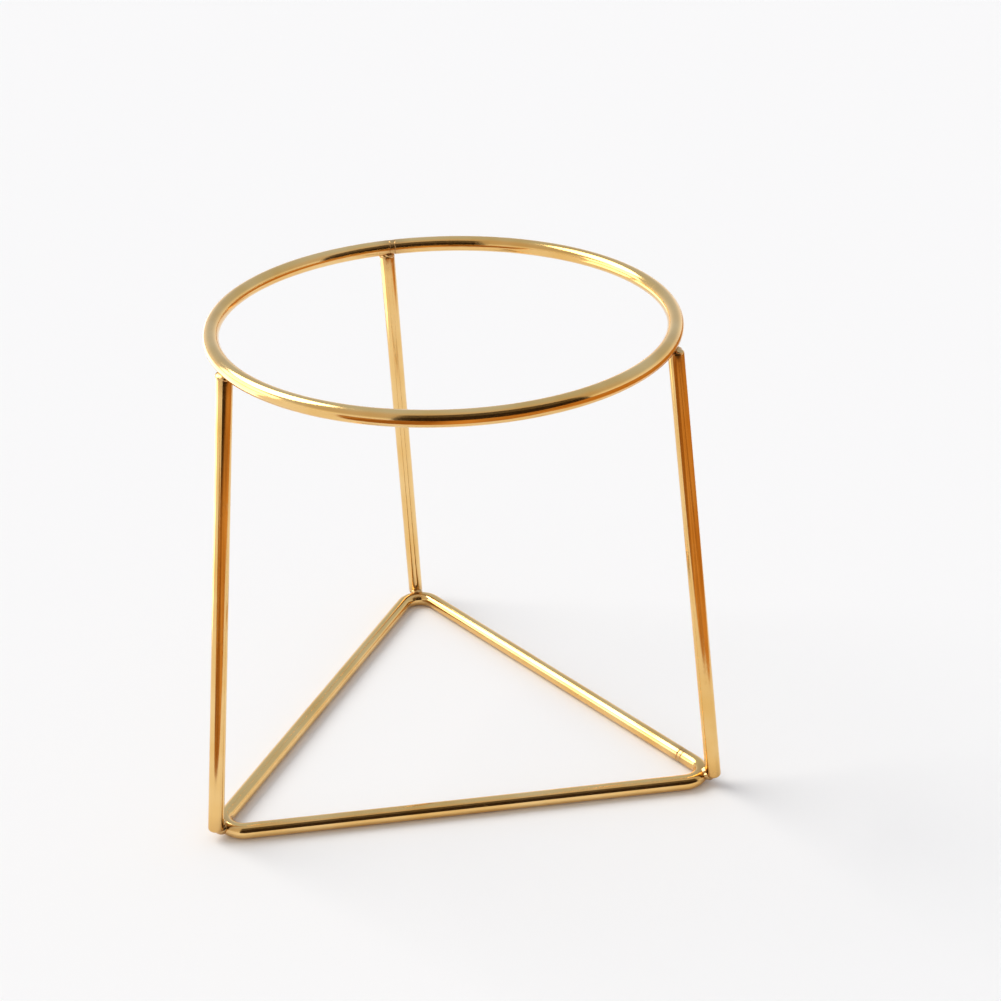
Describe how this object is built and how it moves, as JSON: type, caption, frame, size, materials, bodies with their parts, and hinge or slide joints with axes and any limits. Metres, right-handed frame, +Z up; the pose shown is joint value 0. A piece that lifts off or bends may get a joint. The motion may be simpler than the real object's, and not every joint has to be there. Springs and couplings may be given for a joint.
{
  "type": "air plant holder",
  "caption": "Open wire stand: a round ring on splayed legs over a triangular base, welded from gold-plated round wire, to hold an air plant or a small round pot.",
  "frame": {"origin": "on the table, under the middle of the base triangle", "axes": "+Z up through the ring, +X to the right along the front bar, +Y from the front bar to the back corner"},
  "size_m": [0.099, 0.1009, 0.0909],
  "materials": {
    "gold_wire": "polished",
    "gold_weld": "gloss"
  },
  "bodies": {
    "root": {"top_ring": "gold_wire", "ring_seam_weld": "gold_weld", "base_triangle": "gold_wire", "base_seam_weld": "gold_weld", "left_leg": "gold_wire", "left_ring_weld": "gold_weld", "left_base_weld": "gold_weld", "right_leg": "gold_wire", "right_ring_weld": "gold_weld", "right_base_weld": "gold_weld", "back_leg": "gold_wire", "back_ring_weld": "gold_weld", "back_base_weld": "gold_weld"}
  },
  "joints": []
}
